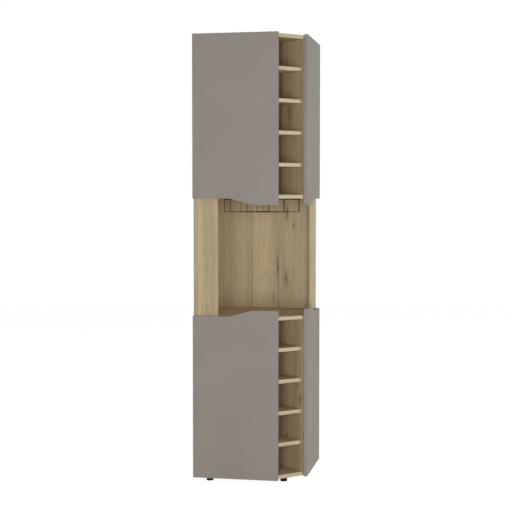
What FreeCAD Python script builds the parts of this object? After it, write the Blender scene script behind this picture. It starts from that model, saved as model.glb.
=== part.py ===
import FreeCAD, Part
import math
import os

# Corner bar cabinet, millimetres, Z up, X right along the left doors, Y to the back.
# The plan is a square with its front right corner cut off, and its two far sides stand against walls.
# Everything is drawn from the left doors' outer front corner at floor level, then centred.

# Carcass and doors
SIDE = 486.0            # each side of the square plan, over the doors
BOARD = 16.0            # faced board of panels, shelves and uprights
DOOR_T = 16.0           # door thickness
CORNER = 111.0          # cut corner's width along each side, beside the doors
DOOR_H = 734.0          # door height, over the grip
DOOR_LIFT = 16.0        # doors' lowest edge above the floor
DOOR_GAP = 2.0          # shadow gap between doors and carcass
DOOR_SOFTEN = 0.8       # small radius round a door's front edges
EDGE_IN = 1.0           # carcass set in from the doors' hinge edges
END_REVEAL = 4.0        # doors reach this far past the bottom and top boards
BAY_H = 508.0           # clear height of the open bar bay

# Finger grip on the doors' edges beside the bay
GRIP_RISE = 28.0        # how far the grip reaches into the bay
GRIP_LOW_X = 161.0      # where the slant starts, from the hinge edge
GRIP_HIGH_X = 266.0     # where the slant ends
GRIP_R = 40.0           # rounding of the slant's two corners

# Bottle racks in the cut corner
NICHE_W = 128.4         # clear width of the niches
RACK_DEPTH = 162.0      # depth of the niches
RACK_BACK_T = 3.0       # hardboard back of the niches
RACK_LEVELS = 5         # niches in each rack
RACK_IN = 4.2           # uprights stand back from the cut corner
RACK_SHELF_IN = 16.0    # niche shelves stand back from the cut corner
BOARD_IN = 5.0          # so do the boards above and below them

# Shelves behind the doors
SHELF_IN = 10.0         # shelf edge behind the carcass front
SHELF_FIT = 0.5         # gap between shelf and panels
PIN_R = 2.5             # shelf pin radius
PIN_L = 18.0            # shelf pin length
PIN_SUNK = 9.0          # part of the pin inside the panel
PIN_IN = 45.0           # pin distance from the shelf's ends

# Posts of the bay
STILE_W = 90.0          # front boards beside the outer panels
BATTEN = 16.0           # square batten in the back corner

# Stemware rack
WIRE_R = 1.4            # steel wire radius
WIRE_BEND = 5.0         # bend radius of the wire
RAIL_START = 55.0       # front legs behind the cut corner
RAIL_BACK = 203.0       # back legs before the back corner
RAIL_DROP = 60.0        # underside of the rails below the bay's ceiling
RAILS = 3               # rails, with glasses hung between them
RAIL_SPREAD = 32.0      # between the two wires of a rail, at its back end
RAIL_TIP = 5.0          # between them at the front end
RAIL_PITCH = 89.0       # from rail to rail, at the back
RAIL_TIP_PITCH = 80.0   # from rail to rail, at the front
STRIP_W = 8.0           # flat bar that the wires are welded to
STRIP_T = 6.0
STRIP_OVER = 1.5        # bar past the outer wires

# Feet
FOOT_TOP_R = 16.0
FOOT_LOW_R = 15.0
FOOT_SIDE = 36.0        # foot centre behind the door face
FOOT_END = 68.0         # foot centre from the hinge edge
FOOT_CUT = 37.5         # front foot's centre behind the cut corner
FOOT_LEFT = 12.7        # and left of the corner's middle
FOOT_BACK = 50.0        # back foot from each wall side
FOOT_PIT_R = 5.0        # recess for the foot's screw head
FOOT_PIT_H = 14.0

# Concealed hinges
HINGE_IN = 95.0         # hinge centre from the door's square end and from its grip edge
CUP_R = 17.5
CUP_DEPTH = 11.5
CUP_IN = 4.5            # cup edge from the door's hinge edge
CUP_WALL = 1.5
CUP_SLOT_W = 24.0       # pocket of the cup, along the door
CUP_SLOT_H = 17.0
FLANGE_W = 24.0
FLANGE_H = 62.0
FLANGE_T = 1.0
KNUCKLE_W = 8.0         # link block in the cup
KNUCKLE_H = 12.0
KNUCKLE_CLEAR = 0.3     # link block to the arm's nose, door closed
CUP_SCREW_OFF = 9.0     # cup screws off the cup's centre
CUP_SCREW_SPACE = 48.0
PLATE_LINE = 37.0       # plate screws behind the carcass front
PLATE_SPACE = 32.0
PLATE_W = 20.0
PLATE_H = 48.0
PLATE_T = 2.0
RIB_L = 54.0            # raised rib that carries the arm
RIB_H = 7.0
RIB_W = 12.0
RIB_FRONT = 18.0        # rib's near end behind the carcass front
ARM_T = 1.5
ARM_W = 18.0
ARM_LIP = 4.0           # arm's side walls stop above the plate
ARM_BACK = 6.0          # arm past the rib
NOSE_L = 12.0           # arm's closed nose over the cup
NOSE_GAP = 0.5          # nose behind the carcass front

# Fasteners
FIT = 0.1               # gap round a screw or pin in its hole
CARCASS_SCREW_R = 3.5
CARCASS_SCREW_L = 50.0
CARCASS_HEAD_R = 5.0
CARCASS_HEAD_H = 4.0
CARCASS_SCREW_IN = 50.0     # end screws from a board's ends
SMALL_SCREW_R = 1.75
SMALL_SCREW_L = 13.0
SMALL_HEAD_R = 3.5
SMALL_HEAD_H = 0.9
BUMPER_R = 4.0
BUMPER_CLEAR = 0.3      # bumper to closed door
BUMPER_IN = 40.0        # bumper from the board above or below
BUMPER_EDGE = 12.0      # bumper centre from the door's free edge

# Derived places
FRONT = DOOR_T + DOOR_GAP                   # carcass front planes, behind each pair of doors
INNER = EDGE_IN + BOARD                     # inner face of the outer panels
DOOR_W = SIDE - CORNER
CUT = DOOR_W - DOOR_T                       # cut corner: X - Y of its plane
CUT_RUN = SIDE - 2 * FRONT - CUT            # cut corner's width along one side
CUT_TO_BACK = (CUT + FRONT + CUT_RUN / 2 - INNER) * math.sqrt(2)
NICHE_HALF = NICHE_W / 2
UPRIGHT_HALF = NICHE_HALF + BOARD
FOOT_H = DOOR_LIFT + END_REVEAL
BOTTOM_TOP = FOOT_H + BOARD
COUNTER_TOP = DOOR_LIFT + DOOR_H - GRIP_RISE
COUNTER_LOW = COUNTER_TOP - BOARD
CEILING = COUNTER_TOP + BAY_H
MIDDLE = COUNTER_TOP + BAY_H / 2
PANEL_TOP = 2 * MIDDLE - FOOT_H
SECTION_H = COUNTER_LOW - BOTTOM_TOP
NICHE_H = (SECTION_H - (RACK_LEVELS - 1) * BOARD) / RACK_LEVELS
SHELF_LOW = BOTTOM_TOP + (SECTION_H - BOARD) / 2
CUP_X = CUP_IN + CUP_R
HINGE_LEVELS = (DOOR_LIFT + HINGE_IN, COUNTER_TOP - HINGE_IN)
RAIL_ENDS = (RAIL_START, CUT_TO_BACK - RAIL_BACK)

V = FreeCAD.Vector
ALONG_X = V(1, 0, 0)
ALONG_Y = V(0, 1, 0)
UP = V(0, 0, 1)


# Geometry helpers

def box(x0, x1, y0, y1, z0, z1):
    """Box between two corners."""
    return Part.makeBox(x1 - x0, y1 - y0, z1 - z0, V(x0, y0, z0))


def prism(points, z0, z1):
    """Upright prism over a plan outline."""
    corners = [V(x, y, z0) for x, y in points]
    face = Part.Face(Part.makePolygon(corners + corners[:1]))
    return face.extrude(V(0, 0, z1 - z0))


def at_cut(u, v):
    """Plan point u behind the cut corner's plane and v to the right of its middle."""
    middle_x = CUT + FRONT + CUT_RUN / 2
    middle_y = FRONT + CUT_RUN / 2
    return middle_x + (v - u) / math.sqrt(2), middle_y + (v + u) / math.sqrt(2)


def cut_block(u0, u1, v0, v1, z0, z1):
    """Block squared to the cut corner."""
    return prism([at_cut(u0, v0), at_cut(u0, v1), at_cut(u1, v1), at_cut(u1, v0)], z0, z1)


def to_right(shape):
    """The same piece on the right side, mirrored about the plan's diagonal."""
    return shape.mirror(V(SIDE / 2, SIDE / 2, 0), V(1, 1, 0))


def to_upper(shape):
    """The same piece in the upper cupboard, mirrored about the bay's middle height."""
    return shape.mirror(V(0, 0, MIDDLE), UP)


def four_ways(shape):
    """A lower left piece with its three mirror images, keyed by cupboard and side."""
    return {
        "lower_left": shape,
        "lower_right": to_right(shape),
        "upper_left": to_upper(shape),
        "upper_right": to_upper(to_right(shape)),
    }


def screw(start, direction, length, shank_r, head_r, head_h, gap=0.0):
    """Headed screw, or its hole when a gap is given; start is the middle of the head's outer face."""
    head = Part.makeCylinder(head_r + gap, head_h, start, direction)
    shank = Part.makeCylinder(shank_r + gap, length + gap, start, direction)
    return head.fuse(shank).removeSplitter()


def carcass_screw(start, direction, gap=0.0):
    """Long joining screw with its head flush in the panel."""
    return screw(start, direction, CARCASS_SCREW_L, CARCASS_SCREW_R, CARCASS_HEAD_R, CARCASS_HEAD_H, gap)


def small_screw(start, direction, gap=0.0):
    """Short fitting screw with a flat head that stands on its plate."""
    return screw(start, direction, SMALL_SCREW_L, SMALL_SCREW_R, SMALL_HEAD_R, SMALL_HEAD_H, gap)


def rounded_corner(before, corner, after, radius):
    """Arc that rounds one corner of an outline, with its two ends."""
    to_before = (before - corner).normalize()
    to_after = (after - corner).normalize()
    half = to_before.getAngle(to_after) / 2
    start = corner + to_before * (radius / math.tan(half))
    end = corner + to_after * (radius / math.tan(half))
    bisector = (to_before + to_after).normalize()
    middle = corner + bisector * (radius / math.sin(half) - radius)
    return start, end, Part.Arc(start, middle, end).toShape()


def save(name, solids):
    """Centre one piece, or a group of like pieces, on the plan and write its file."""
    shape = solids[0] if len(solids) == 1 else Part.makeCompound(solids)
    shape.translate(V(-SIDE / 2, -SIDE / 2, 0))
    shape.exportStep("parts/" + name + ".step")


# Panels and boards

def left_panel():
    """Outer panel on the left wall, from front to back."""
    return box(EDGE_IN, INNER, FRONT, SIDE - EDGE_IN, FOOT_H, PANEL_TOP)


def rear_panel():
    """Outer panel on the rear wall, which butts against the left panel."""
    return box(INNER, SIDE - FRONT, SIDE - INNER, SIDE - EDGE_IN, FOOT_H, PANEL_TOP)


def board(z0):
    """Five-sided board between the outer panels, with a tongue between the rack's uprights."""
    cut = CUT - RACK_SHELF_IN * math.sqrt(2)
    outline = [
        (INNER, FRONT),
        (cut + FRONT, FRONT),
        (SIDE - FRONT, SIDE - FRONT - cut),
        (SIDE - FRONT, SIDE - INNER),
        (INNER, SIDE - INNER),
    ]
    tongue = cut_block(BOARD_IN, RACK_SHELF_IN, -NICHE_HALF, NICHE_HALF, z0, z0 + BOARD)
    return prism(outline, z0, z0 + BOARD).fuse(tongue).removeSplitter()


def inner_shelf():
    """Shelf behind the doors, cut out round the bottle rack."""
    block_half = UPRIGHT_HALF + SHELF_FIT
    block_back = RACK_DEPTH + RACK_BACK_T + SHELF_FIT
    edge = FRONT + SHELF_IN
    wall = INNER + SHELF_FIT
    # The upright's outer face runs where X + Y is constant.
    meet = sum(at_cut(0, -block_half)) - edge
    outline = [
        (wall, edge),
        (meet, edge),
        at_cut(block_back, -block_half),
        at_cut(block_back, block_half),
        (SIDE - edge, SIDE - meet),
        (SIDE - edge, SIDE - wall),
        (wall, SIDE - wall),
    ]
    return prism(outline, SHELF_LOW, SHELF_LOW + BOARD)


def shelf_pin(x, y, direction, gap=0.0):
    """Pin under the shelf, half of it in the panel; the point lies on the panel's face."""
    start = V(x, y, SHELF_LOW - PIN_R) - direction * (PIN_SUNK + gap)
    return Part.makeCylinder(PIN_R + gap, PIN_L + 2 * gap, start, direction)


def shelf_pins(gap=0.0):
    """Pins of the left panel, then of the rear panel, for the lower shelf."""
    near = FRONT + SHELF_IN + PIN_IN
    far = SIDE - INNER - PIN_IN
    left = [shelf_pin(INNER, y, ALONG_X, gap) for y in (near, far)]
    return left, [to_right(pin) for pin in left]


# Bottle racks

def rack_upright():
    """Left upright of the lower rack: a lip past the boards' edges, its front end cut flush behind the door."""
    blank = cut_block(RACK_IN, RACK_DEPTH, -UPRIGHT_HALF, -NICHE_HALF, BOTTOM_TOP, COUNTER_LOW)
    lip = cut_block(RACK_IN, RACK_SHELF_IN, -UPRIGHT_HALF, -NICHE_HALF, FOOT_H, COUNTER_TOP)
    return blank.fuse(lip).removeSplitter().cut(box(0, SIDE, 0, FRONT, 0, PANEL_TOP))


def rack_back():
    """Thin board that closes the niches of the lower rack."""
    back = RACK_DEPTH + RACK_BACK_T
    return cut_block(RACK_DEPTH, back, -UPRIGHT_HALF, UPRIGHT_HALF, BOTTOM_TOP, COUNTER_LOW)


def rack_shelf(level):
    """Niche shelf of the lower rack, counted from below."""
    z = BOTTOM_TOP + level * NICHE_H + (level - 1) * BOARD
    return cut_block(RACK_SHELF_IN, RACK_DEPTH, -NICHE_HALF, NICHE_HALF, z, z + BOARD)


# Doors and their hinges

def door_blank():
    """Lower left door with its slanted finger grip and softened front edges."""
    low = DOOR_LIFT
    shoulder = V(GRIP_LOW_X, 0, COUNTER_TOP)
    crest = V(GRIP_HIGH_X, 0, COUNTER_TOP + GRIP_RISE)
    end_top = V(DOOR_W, 0, COUNTER_TOP + GRIP_RISE)
    hinge_top = V(0, 0, COUNTER_TOP)
    crest_start, crest_end, crest_arc = rounded_corner(end_top, crest, shoulder, GRIP_R)
    foot_start, foot_end, foot_arc = rounded_corner(crest, shoulder, hinge_top, GRIP_R)
    line = Part.makeLine
    edges = [
        line(V(0, 0, low), V(DOOR_W, 0, low)),
        line(V(DOOR_W, 0, low), end_top),
        line(end_top, crest_start),
        crest_arc,
        line(crest_end, foot_start),
        foot_arc,
        line(foot_end, hinge_top),
        line(hinge_top, V(0, 0, low)),
    ]
    slab = Part.Face(Part.Wire(edges)).extrude(V(0, DOOR_T, 0))
    front = [edge for edge in slab.Edges if edge.BoundBox.YMax < DOOR_T / 2]
    return slab.makeFillet(DOOR_SOFTEN, front)


def hinge_cup(z):
    """Cup in the door's back with its flange and link block."""
    bottom = DOOR_T - CUP_DEPTH
    top = DOOR_T + FLANGE_T
    cup = Part.makeCylinder(CUP_R, CUP_DEPTH, V(CUP_X, bottom, z), ALONG_Y)
    flange_x = CUP_X + CUP_SCREW_OFF / 2
    flange = box(flange_x - FLANGE_W / 2, flange_x + FLANGE_W / 2, DOOR_T, top,
                 z - FLANGE_H / 2, z + FLANGE_H / 2)
    pocket = box(CUP_X - CUP_SLOT_W / 2, CUP_X + CUP_SLOT_W / 2, bottom + CUP_WALL, top,
                 z - CUP_SLOT_H / 2, z + CUP_SLOT_H / 2)
    knuckle_end = FRONT + NOSE_GAP - KNUCKLE_CLEAR
    knuckle = box(CUP_X - KNUCKLE_W / 2, CUP_X + KNUCKLE_W / 2, bottom, knuckle_end,
                  z - KNUCKLE_H / 2, z + KNUCKLE_H / 2)
    body = cup.fuse(flange).cut(pocket).fuse(knuckle).removeSplitter()
    return body.cut(Part.makeCompound(cup_screws(z, FIT)))


def cup_screws(z, gap=0.0):
    """Two screws that hold a cup's flange to the door."""
    x = CUP_X + CUP_SCREW_OFF
    y = DOOR_T + FLANGE_T + SMALL_HEAD_H
    return [small_screw(V(x, y, z + side * CUP_SCREW_SPACE / 2), -ALONG_Y, gap) for side in (-1, 1)]


def hinge_plate(z):
    """Mounting plate on the panel with the rib that carries the arm."""
    middle = FRONT + PLATE_LINE
    base = box(INNER, INNER + PLATE_T, middle - PLATE_W / 2, middle + PLATE_W / 2,
               z - PLATE_H / 2, z + PLATE_H / 2)
    rib_start = FRONT + RIB_FRONT
    rib = box(INNER, INNER + PLATE_T + RIB_H, rib_start, rib_start + RIB_L, z - RIB_W / 2, z + RIB_W / 2)
    return base.fuse(rib).removeSplitter().cut(Part.makeCompound(plate_screws(z, FIT)))


def plate_screws(z, gap=0.0):
    """Two screws that hold a mounting plate to the panel."""
    x = INNER + PLATE_T + SMALL_HEAD_H
    y = FRONT + PLATE_LINE
    return [small_screw(V(x, y, z + side * PLATE_SPACE / 2), -ALONG_X, gap) for side in (-1, 1)]


def hinge_arm(z):
    """Channel-shaped arm on the rib, with its nose over the cup."""
    top = INNER + PLATE_T + RIB_H
    near = FRONT + NOSE_GAP
    far = FRONT + RIB_FRONT + RIB_L + ARM_BACK
    half = ARM_W / 2
    web = box(top, top + ARM_T, near, far, z - half, z + half)
    shape = web
    for inside, outside in ((-half, -half + ARM_T), (half - ARM_T, half)):
        wall = box(INNER + ARM_LIP, top + ARM_T, near + NOSE_L, far, z + inside, z + outside)
        shape = shape.fuse(wall)
    nose = box(INNER + ARM_LIP, top + ARM_T, near, near + NOSE_L, z - half, z + half)
    return shape.fuse(nose).removeSplitter()


def bumpers():
    """Soft buffers on the lower left upright, just clear of the closed door."""
    x = DOOR_W - BUMPER_EDGE
    height = DOOR_GAP - BUMPER_CLEAR
    levels = (BOTTOM_TOP + BUMPER_IN, COUNTER_LOW - BUMPER_IN)
    return [Part.makeCylinder(BUMPER_R, height, V(x, FRONT, z), -ALONG_Y) for z in levels]


# Stemware rack under the bay's ceiling

def rail_wires():
    """Sideways places of every wire at its front and back end, two wires for each rail."""
    steps = [rail - (RAILS - 1) / 2 for rail in range(RAILS)]
    return [[(step * RAIL_TIP_PITCH + side * RAIL_TIP / 2, step * RAIL_PITCH + side * RAIL_SPREAD / 2)
             for side in (-1, 1)] for step in steps]


def rail_wire(places):
    """One wire: down from the front bar, along, and up to the back bar."""
    top = CEILING - STRIP_T
    low = CEILING - RAIL_DROP + WIRE_R
    ends = [at_cut(u, v) for u, v in zip(RAIL_ENDS, places)]
    front_top, front_low = V(*ends[0], top), V(*ends[0], low)
    back_low, back_top = V(*ends[1], low), V(*ends[1], top)
    front_start, front_end, front_arc = rounded_corner(front_top, front_low, back_low, WIRE_BEND)
    back_start, back_end, back_arc = rounded_corner(front_low, back_low, back_top, WIRE_BEND)
    path = Part.Wire([
        Part.makeLine(front_top, front_start),
        front_arc,
        Part.makeLine(front_end, back_start),
        back_arc,
        Part.makeLine(back_end, back_top),
    ])
    section = Part.Wire(Part.makeCircle(WIRE_R, front_top, UP))
    return path.makePipeShell([section], True, False)


def strip(u):
    """Flat bar against the ceiling, with its screw holes."""
    half = strip_half(u)
    bar = cut_block(u - STRIP_W / 2, u + STRIP_W / 2, -half, half, CEILING - STRIP_T, CEILING)
    return bar.cut(Part.makeCompound(strip_screws(u, FIT)))


def strip_half(u):
    """Half the length of a flat bar, a little past its outer legs."""
    return rail_wires()[-1][1][RAIL_ENDS.index(u)] + STRIP_OVER


def strip_screws(u, gap=0.0):
    """Screws of one bar, between the rails."""
    places = [side * RAIL_PITCH / 2 for side in (-1, 1)]
    z = CEILING - STRIP_T - SMALL_HEAD_H
    return [small_screw(V(*at_cut(u, v), z), UP, gap) for v in places]


# Feet

def foot_places():
    """Plan places of the four feet."""
    places = [
        (FOOT_END, FOOT_SIDE),
        (SIDE - FOOT_SIDE, SIDE - FOOT_END),
        at_cut(FOOT_CUT, -FOOT_LEFT),
        (FOOT_BACK, SIDE - FOOT_BACK),
    ]
    return dict(zip(("left", "right", "corner", "back"), places))


def foot_screw(x, y, gap=0.0):
    """Screw through a foot into the bottom board, its head against the end of the recess."""
    return small_screw(V(x, y, FOOT_PIT_H - SMALL_HEAD_H), UP, gap)


def foot(x, y):
    """Tapered glide with a recess for its screw."""
    glide = Part.makeCone(FOOT_LOW_R, FOOT_TOP_R, FOOT_H, V(x, y, 0), UP)
    pit = Part.makeCylinder(FOOT_PIT_R, FOOT_PIT_H, V(x, y, 0), UP)
    return glide.cut(pit).cut(foot_screw(x, y, FIT))


# Joining screws of the outer panels

def panel_screws(gap=0.0):
    """Screws through the left panel into the boards, through the rear one, and at the back corner."""
    board_levels = [FOOT_H + BOARD / 2, COUNTER_LOW + BOARD / 2]
    board_levels += [2 * MIDDLE - z for z in board_levels]
    first = FRONT + CARCASS_SCREW_IN
    last = SIDE - INNER - CARCASS_SCREW_IN
    spots = [V(EDGE_IN, y, z) for z in board_levels for y in (first, (first + last) / 2, last)]
    left = [carcass_screw(spot, ALONG_X, gap) for spot in spots]
    rear = [to_right(one) for one in left]
    low = (BOTTOM_TOP + COUNTER_LOW) / 2
    corner_y = SIDE - EDGE_IN - BOARD / 2
    corner_levels = (low, MIDDLE, 2 * MIDDLE - low)
    corner = [carcass_screw(V(EDGE_IN, corner_y, z), ALONG_X, gap) for z in corner_levels]
    return left, rear, corner


def main():
    """Build every piece and write its file."""
    os.makedirs("parts", exist_ok=True)
    pieces = {}

    # Holes that several pieces share
    left_holes, rear_holes, corner_holes = panel_screws(FIT)
    left_pins, rear_pins = shelf_pins(FIT)
    plate_holes = [hole for z in HINGE_LEVELS for hole in plate_screws(z, FIT)]
    lift = V(0, 0, CEILING + BOARD - BOTTOM_TOP)
    left_sockets = left_pins + [pin.translated(lift) for pin in left_pins]
    rear_sockets = rear_pins + [pin.translated(lift) for pin in rear_pins]
    left_plate_holes = plate_holes + [to_upper(hole) for hole in plate_holes]
    rear_plate_holes = [to_right(hole) for hole in left_plate_holes]
    board_holes = Part.makeCompound(left_holes + rear_holes)
    foot_holes = [foot_screw(x, y, FIT) for x, y in foot_places().values()]
    strip_holes = [hole for u in RAIL_ENDS for hole in strip_screws(u, FIT)]

    # Outer panels and boards
    left_cutters = left_holes + corner_holes + left_sockets + left_plate_holes
    rear_cutters = rear_holes + corner_holes + rear_sockets + rear_plate_holes
    pieces["left_outer_panel"] = [left_panel().cut(Part.makeCompound(left_cutters))]
    pieces["rear_outer_panel"] = [rear_panel().cut(Part.makeCompound(rear_cutters))]
    bottom = board(FOOT_H).cut(board_holes)
    counter = board(COUNTER_LOW).cut(board_holes)
    pieces["bottom_board"] = [bottom.cut(Part.makeCompound(foot_holes))]
    pieces["counter_board"] = [counter]
    pieces["bay_ceiling_board"] = [to_upper(counter).cut(Part.makeCompound(strip_holes))]
    pieces["top_board"] = [to_upper(bottom)]
    left_screws, rear_screws, corner_screws = panel_screws()
    pieces["carcass_screws"] = left_screws + rear_screws + corner_screws

    # Bottle racks
    for name, upright in four_ways(rack_upright()).items():
        pieces[name + "_rack_upright"] = [upright]
    pieces["lower_rack_back"] = [rack_back()]
    pieces["upper_rack_back"] = [to_upper(rack_back())]
    for level in range(1, RACK_LEVELS):
        pieces["lower_niche_shelf_%d" % level] = [rack_shelf(level)]
        pieces["upper_niche_shelf_%d" % level] = [to_upper(rack_shelf(RACK_LEVELS - level))]

    # Shelves behind the doors; the upper one lies on its own pins
    shelf_pair = [pin for side in shelf_pins() for pin in side]
    pieces["lower_shelf"] = [inner_shelf()]
    pieces["upper_shelf"] = [inner_shelf().translated(lift)]
    pieces["shelf_pins"] = shelf_pair + [pin.translated(lift) for pin in shelf_pair]

    # Posts of the open bay
    stile = box(INNER, INNER + STILE_W, FRONT, FRONT + BOARD, COUNTER_TOP, CEILING)
    pieces["bay_left_stile"] = [stile]
    pieces["bay_right_stile"] = [to_right(stile)]
    pieces["bay_corner_batten"] = [
        box(INNER, INNER + BATTEN, SIDE - INNER - BATTEN, SIDE - INNER, COUNTER_TOP, CEILING)
    ]

    # Doors with their hinges
    cup_bores = [
        Part.makeCylinder(CUP_R + FIT, CUP_DEPTH + FIT, V(CUP_X, DOOR_T - CUP_DEPTH - FIT, z), ALONG_Y)
        for z in HINGE_LEVELS
    ]
    cup_pilots = [hole for z in HINGE_LEVELS for hole in cup_screws(z, FIT)]
    door = door_blank().cut(Part.makeCompound(cup_bores + cup_pilots))
    groups = {
        "door": [door],
        "hinge_cups": [hinge_cup(z) for z in HINGE_LEVELS],
        "cup_screws": [one for z in HINGE_LEVELS for one in cup_screws(z)],
        "hinge_arms": [hinge_arm(z) for z in HINGE_LEVELS],
        "hinge_plates": [hinge_plate(z) for z in HINGE_LEVELS],
    }
    for kind, solids in groups.items():
        images = [four_ways(solid) for solid in solids]
        for name in images[0]:
            pieces[name + "_" + kind] = [image[name] for image in images]
    plate_set = [four_ways(one) for z in HINGE_LEVELS for one in plate_screws(z)]
    pieces["hinge_plate_screws"] = [one for image in plate_set for one in image.values()]
    bumper_set = [four_ways(one) for one in bumpers()]
    pieces["door_bumpers"] = [one for image in bumper_set for one in image.values()]

    # Stemware rack
    for rail, wires in enumerate(rail_wires(), start=1):
        pieces["glass_rail_%d" % rail] = [rail_wire(places) for places in wires]
    pieces["glass_rack_bars"] = [strip(u) for u in RAIL_ENDS]
    pieces["glass_rack_screws"] = [one for u in RAIL_ENDS for one in strip_screws(u)]

    # Feet
    for name, (x, y) in foot_places().items():
        pieces["foot_" + name] = [foot(x, y)]
    pieces["foot_screws"] = [foot_screw(x, y) for x, y in foot_places().values()]

    for name, solids in pieces.items():
        save(name, solids)
    print(len(pieces), "pieces, height", 2 * MIDDLE - DOOR_LIFT)


main()
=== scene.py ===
"""Corner bar cabinet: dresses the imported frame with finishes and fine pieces, then lights it."""
import logging
import math
from dataclasses import dataclass
from enum import Enum
from typing import Iterable, Sequence

import bmesh
import bpy
import numpy as np
from mathutils import Matrix, Vector


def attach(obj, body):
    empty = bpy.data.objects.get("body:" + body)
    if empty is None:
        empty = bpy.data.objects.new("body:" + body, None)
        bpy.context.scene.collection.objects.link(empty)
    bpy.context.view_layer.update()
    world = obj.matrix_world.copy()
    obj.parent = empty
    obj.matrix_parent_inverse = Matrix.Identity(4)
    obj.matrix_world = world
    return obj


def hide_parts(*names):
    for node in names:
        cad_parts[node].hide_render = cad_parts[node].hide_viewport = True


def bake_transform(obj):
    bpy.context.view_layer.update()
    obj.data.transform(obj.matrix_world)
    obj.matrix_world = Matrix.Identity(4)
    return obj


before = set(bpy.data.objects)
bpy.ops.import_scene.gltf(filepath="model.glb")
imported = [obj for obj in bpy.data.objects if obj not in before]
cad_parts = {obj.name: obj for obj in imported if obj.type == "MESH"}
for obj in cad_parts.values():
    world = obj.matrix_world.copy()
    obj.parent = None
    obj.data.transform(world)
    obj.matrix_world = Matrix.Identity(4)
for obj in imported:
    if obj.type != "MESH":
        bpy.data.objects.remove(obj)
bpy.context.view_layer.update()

LOG = logging.getLogger("cabinet")

MM = 0.001
SIDE = 486.0            # plan square over the doors
BOARD = 16.0            # faced board thickness
FRONT = 18.0            # carcass front behind the door faces
DOOR_T = 16.0           # door thickness
INNER = 17.0            # inner faces of the outer panels
EDGE_IN = 1.0           # outer faces of the outer panels
CUT_MIDDLE = (422.5, 63.5)  # middle of the cut corner in plan
MIDDLE = 976.0          # half height, where the upper cupboard mirrors the lower one
COUNTER_TOP = 722.0
CEILING = 1230.0
BOTTOM_TOP = 36.0
PANEL_LOW = 20.0
PANEL_TOP = 1932.0
BOARD_MIDDLES = (PANEL_LOW + BOARD / 2, COUNTER_TOP - BOARD / 2)  # boards below and above the lower cupboard
DIAGONAL = math.sqrt(0.5)

SIDES = ("lower_left", "lower_right", "upper_left", "upper_right")
WELD = 1e-6             # metres between points that are one
CORNER_STEPS = 4        # points on a bar's rounded corner

Array = np.ndarray
Key = int | str
Triple = tuple[float, float, float]
Rgba = tuple[float, float, float, float]
Mark = tuple[float, float, float, float]    # a crack: along and across the grain, length, width, metres
Tree = bpy.types.NodeTree
Socket = bpy.types.NodeSocket
Sockets = dict[str, Socket | float]


# Shapes as whole arrays


@dataclass
class Shape:
    """Points in millimetres from the left doors' outer front floor corner, with their faces."""

    points: Array
    faces: list[tuple[int, ...]]

    def mirrored(self, points: Array) -> "Shape":
        """The shape on its mirrored points, with its faces turned round."""
        return Shape(points, [tuple(reversed(face)) for face in self.faces])

    def to_right(self) -> "Shape":
        """The mirror image about the plan's diagonal: x and y swap and count from the far side."""
        x, y, z = self.points.T
        return self.mirrored(np.stack([SIDE - y, SIDE - x, z], axis=1))

    def to_upper(self) -> "Shape":
        """The mirror image about the bay's middle height."""
        return self.mirrored(self.points * (1, 1, -1) + (0, 0, 2 * MIDDLE))


def joined(shapes: Iterable[Shape]) -> Shape:
    """Put several shapes into one, their faces counted on.

    Args:
        shapes: the shapes to join.

    Returns:
        One shape with all the points and faces.
    """
    points, faces, count = [], [], 0
    for shape in shapes:
        points.append(shape.points)
        faces += [tuple(index + count for index in face) for face in shape.faces]
        count += len(shape.points)
    return Shape(np.concatenate(points), faces)


def four_ways(shape: Shape) -> dict[str, Shape]:
    """A lower left shape with its three mirror images, keyed by cupboard and side."""
    right = shape.to_right()
    return dict(zip(SIDES, (shape, right, shape.to_upper(), right.to_upper())))


def grid_faces(rows: int, columns: int) -> list[tuple[int, ...]]:
    """Quads between closed rings: corner (r, c) is point r * columns + c, and the last column joins the first.

    Args:
        rows: number of rings.
        columns: points in a ring.

    Returns:
        The quads as index tuples.
    """
    r, c = np.meshgrid(np.arange(rows - 1), np.arange(columns), indexing="ij")
    right = (c + 1) % columns
    quads = np.stack([r * columns + c, r * columns + right, (r + 1) * columns + right, (r + 1) * columns + c], axis=-1)
    return [tuple(quad) for quad in quads.reshape(-1, 4).tolist()]


def carried(profile: Array, path: Array, across: Array | Triple, up: Array | Triple) -> Shape:
    """Carry a closed profile along a path: point = path + profile_x * across + profile_y * up.

    Args:
        profile: (k, 2) outline in millimetres.
        path: (r, 3) points that the profile's origin follows.
        across: (r, 3) or (3,) direction of the profile's first axis.
        up: (r, 3) or (3,) direction of its second axis.

    Returns:
        A closed shape with flat ends.
    """
    across = np.broadcast_to(across, path.shape)[:, None, :]
    up = np.broadcast_to(up, path.shape)[:, None, :]
    points = path[:, None, :] + profile[None, :, :1] * across + profile[None, :, 1:] * up
    rows, columns = len(path), len(profile)
    ends = [tuple(range(columns - 1, -1, -1)), tuple(range((rows - 1) * columns, rows * columns))]
    return Shape(points.reshape(-1, 3), grid_faces(rows, columns) + ends)


def turned(profile: Array, centre: Sequence[float], axis: Sequence[float], steps: int) -> Shape:
    """Turn a profile about an axis: point = centre + r cos(t) a + r sin(t) b + h axis.

    Args:
        profile: (k, 2) radius and height along the axis; radius 0 makes a pole.
        centre: foot of the axis.
        axis: unit direction of the axis.
        steps: points round the axis.

    Returns:
        The turned shape, whose pole points are merged when its mesh is made.
    """
    axis = np.asarray(axis, dtype=float)
    first = np.cross(axis, (0.0, 0.0, 1.0) if abs(axis[2]) < 0.9 else (1.0, 0.0, 0.0))
    first /= np.linalg.norm(first)
    spot = circle(1.0, steps)
    ring = spot[:, :1] * first + spot[:, 1:] * np.cross(axis, first)
    points = profile[:, None, :1] * ring[None] + profile[:, None, 1:] * axis + np.asarray(centre)
    return Shape(points.reshape(-1, 3), grid_faces(len(profile), steps))


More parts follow.
